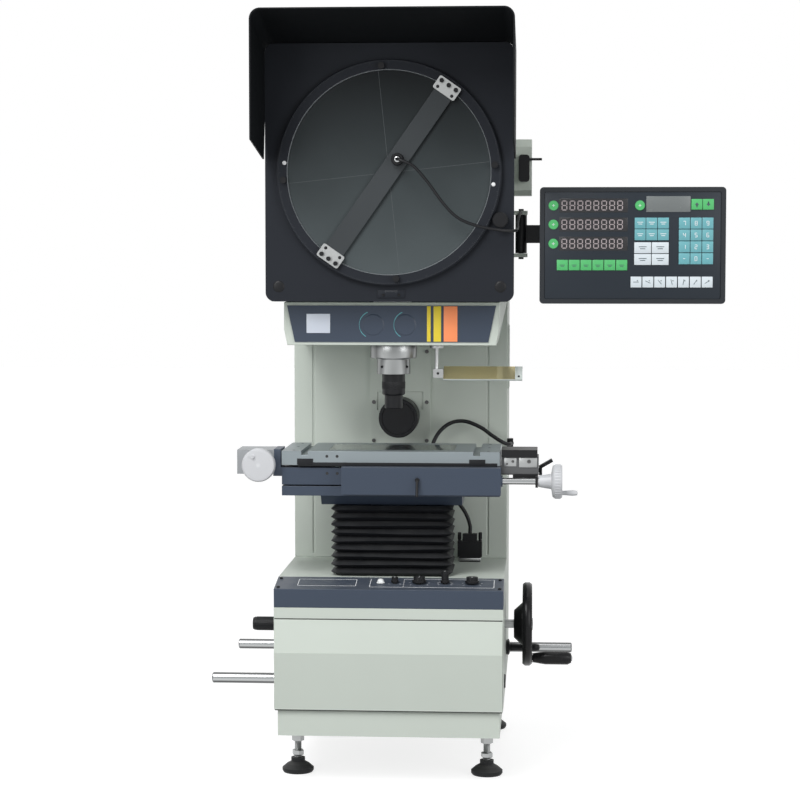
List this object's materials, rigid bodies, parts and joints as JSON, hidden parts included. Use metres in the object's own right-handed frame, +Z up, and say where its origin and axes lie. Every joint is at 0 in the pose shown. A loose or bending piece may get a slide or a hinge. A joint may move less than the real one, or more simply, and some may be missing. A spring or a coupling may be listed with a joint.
{
  "type": "optical comparator",
  "caption": "Vertical optical comparator: hooded round screen on a column over a moving stage, with handwheels, bellows and a digital readout on a side arm.",
  "frame": {"origin": "on the floor, under the middle of the object's box", "axes": "+Z up, +X to the user's right, -Y towards the user"},
  "size_m": [0.8, 0.636, 1.1789],
  "materials": {
    "ivory_paint": "satin powder coat",
    "slate_paint": "satin paint",
    "black_paint": "fine textured paint",
    "steel": "ground",
    "bright_rod": "polished",
    "stage_metal": "satin",
    "white_plastic": "moulded",
    "black_plastic": "moulded",
    "rubber": "moulded",
    "cable": "smooth jacket",
    "ground_glass": "ground",
    "clear_glass": "polished",
    "gold_mirror": "half silvered",
    "silver_mirror": "front silvered",
    "lamp_metal": "heat proof paint"
  },
  "bodies": {
    "frame": {"base_housing": "ivory_paint", "front_panel": "ivory_paint", "control_panel": "slate_paint", "foot_pads": "rubber", "foot_studs": "steel", "carry_rods": "bright_rod", "column_shell": "ivory_paint", "rear_cover": "ivory_paint", "lamp_house": "lamp_metal", "lens_plate": "ivory_paint", "surface_light": "black_paint", "head_shell": "ivory_paint", "screen_plate": "black_paint", "hood": "black_paint", "front_cover": "ivory_paint", "cover_fascia": "slate_paint", "lens_mount": "steel", "objective": "black_paint", "fold_mirrors": "silver_mirror", "encoder_box": "ivory_paint", "dro_arm": "ivory_paint", "connectors": "black_plastic", "sensor_cable": "cable", "scale_cable": "cable"},
    "lift": {"lift_column": "steel", "stage_base": "slate_paint", "scale_cover": "slate_paint", "condenser_lens": "clear_glass", "bellows": "rubber"},
    "carriage": {"x_carriage": "slate_paint", "drive_head": "steel", "y_drive": "white_plastic"},
    "table": {"stage_plate": "stage_metal", "stage_glass": "clear_glass"},
    "x_feed": {"x_rod": "bright_rod", "x_wheel": "white_plastic"},
    "y_feed": {"y_wheel": "white_plastic"},
    "release": {"release_lever": "black_plastic"},
    "scale_clamp": {"scale_lever": "black_plastic"},
    "focus": {"z_wheel": "black_paint", "z_shaft": "steel"},
    "grip": {"z_grip": "black_plastic"},
    "lift_lock": {"z_lock": "black_plastic"},
    "lamp_knob": {"left_knob": "black_plastic"},
    "screen": {"screen_ring": "black_paint", "screen_glass": "ground_glass", "ring_knobs": "black_plastic", "overlay_bar": "clear_glass", "bar_clamps": "steel", "edge_sensor": "black_plastic"},
    "screen_drive": {"screen_knob": "black_plastic"},
    "clamp": {"screen_clamp": "black_plastic"},
    "readout": {"dro_hinge": "black_paint", "dro_case": "black_plastic"},
    "mirror": {"mirror_arm": "steel", "half_mirror": "gold_mirror"},
    "power": {"power_knob": "black_plastic"},
    "contour": {"contour_knob": "black_plastic"},
    "dimmer": {"dimmer_knob": "black_plastic"},
    "surface": {"surface_knob": "black_plastic"}
  },
  "joints": [
    {"name": "lift_travel", "type": "slide", "parent": "frame", "child": "lift", "axis": [0, 0, 1], "range_m": [-0.05, 0.04], "deforming": ["bellows"]},
    {"name": "x_travel", "type": "slide", "parent": "lift", "child": "carriage", "axis": [1, 0, 0], "range_m": [-0.05, 0.1]},
    {"name": "y_travel", "type": "slide", "parent": "carriage", "child": "table", "axis": [0, 1, 0], "range_m": [-0.025, 0.025]},
    {"name": "x_wheel_turn", "type": "hinge", "parent": "carriage", "child": "x_feed", "pos_m": [-0.113, -0.144, 0.471], "axis": [1, 0, 0], "range_deg": [-721, 1441]},
    {"name": "y_wheel_turn", "type": "hinge", "parent": "carriage", "child": "y_feed", "pos_m": [-0.317, -0.119, 0.494], "axis": [0, 1, 0], "range_deg": [-361, 361]},
    {"name": "release_swing", "type": "hinge", "parent": "carriage", "child": "release", "pos_m": [0.117, -0.1, 0.484], "axis": [1, 0, 0], "range_deg": [-30, 30]},
    {"name": "scale_clamp_swing", "type": "hinge", "parent": "lift", "child": "scale_clamp", "pos_m": [-0.07, -0.155, 0.473], "axis": [0, 1, 0], "range_deg": [-40, 40]},
    {"name": "focus_turn", "type": "hinge", "parent": "frame", "child": "focus", "pos_m": [-0.113, -0.0105, 0.226], "axis": [1, 0, 0], "range_deg": [-306.58, 382.97]},
    {"name": "grip_spin", "type": "hinge", "parent": "focus", "child": "grip", "pos_m": [0.124, -0.0105, 0.171], "axis": [1, 0, 0], "continuous": true},
    {"name": "lift_lock_turn", "type": "hinge", "parent": "frame", "child": "lift_lock", "pos_m": [0.064, 0.065, 0.174], "axis": [1, 0, 0], "range_deg": [0, 90]},
    {"name": "lamp_knob_turn", "type": "hinge", "parent": "frame", "child": "lamp_knob", "pos_m": [-0.29, 0.065, 0.209], "axis": [1, 0, 0], "range_deg": [-150, 150]},
    {"name": "screen_turn", "type": "hinge", "parent": "frame", "child": "screen", "pos_m": [-0.113, -0.158, 0.945], "axis": [0, 1, 0], "range_deg": [-90, 90]},
    {"name": "screen_knob_turn", "type": "hinge", "parent": "frame", "child": "screen_drive", "pos_m": [0.05711, -0.158, 0.87279], "axis": [0, 1, 0], "range_deg": [-1310, 1310]},
    {"name": "screen_clamp_turn", "type": "hinge", "parent": "frame", "child": "clamp", "pos_m": [0.092, -0.055, 0.955], "axis": [0, 1, 0], "range_deg": [-40, 40]},
    {"name": "readout_swivel", "type": "hinge", "parent": "frame", "child": "readout", "pos_m": [0.088, -0.085, 0.834], "axis": [0, 0, 1], "range_deg": [-20, 40]},
    {"name": "mirror_swing", "type": "hinge", "parent": "frame", "child": "mirror", "pos_m": [-0.045, -0.06, 0.679], "axis": [0, 0, 1], "range_deg": [-100, 15]},
    {"name": "power_turn", "type": "hinge", "parent": "frame", "child": "power", "pos_m": [-0.105, -0.151, 0.306], "axis": [0, 0, 1], "range_deg": [0, 60]},
    {"name": "contour_turn", "type": "hinge", "parent": "frame", "child": "contour", "pos_m": [-0.067, -0.151, 0.306], "axis": [0, 0, 1], "range_deg": [-60, 60]},
    {"name": "dimmer_turn", "type": "hinge", "parent": "frame", "child": "dimmer", "pos_m": [-0.027, -0.151, 0.306], "axis": [0, 0, 1], "range_deg": [-135, 135]},
    {"name": "surface_turn", "type": "hinge", "parent": "frame", "child": "surface", "pos_m": [0.015, -0.151, 0.306], "axis": [0, 0, 1], "range_deg": [-60, 60]}
  ],
  "couplings": [
    {"joint": "focus_turn", "follows": "lift_travel", "rad_per_m": -133.33},
    {"joint": "x_wheel_turn", "follows": "x_travel", "rad_per_m": 251.33},
    {"joint": "y_wheel_turn", "follows": "y_travel", "rad_per_m": 251.33},
    {"joint": "screen_knob_turn", "follows": "screen_turn", "ratio": -14.375}
  ]
}
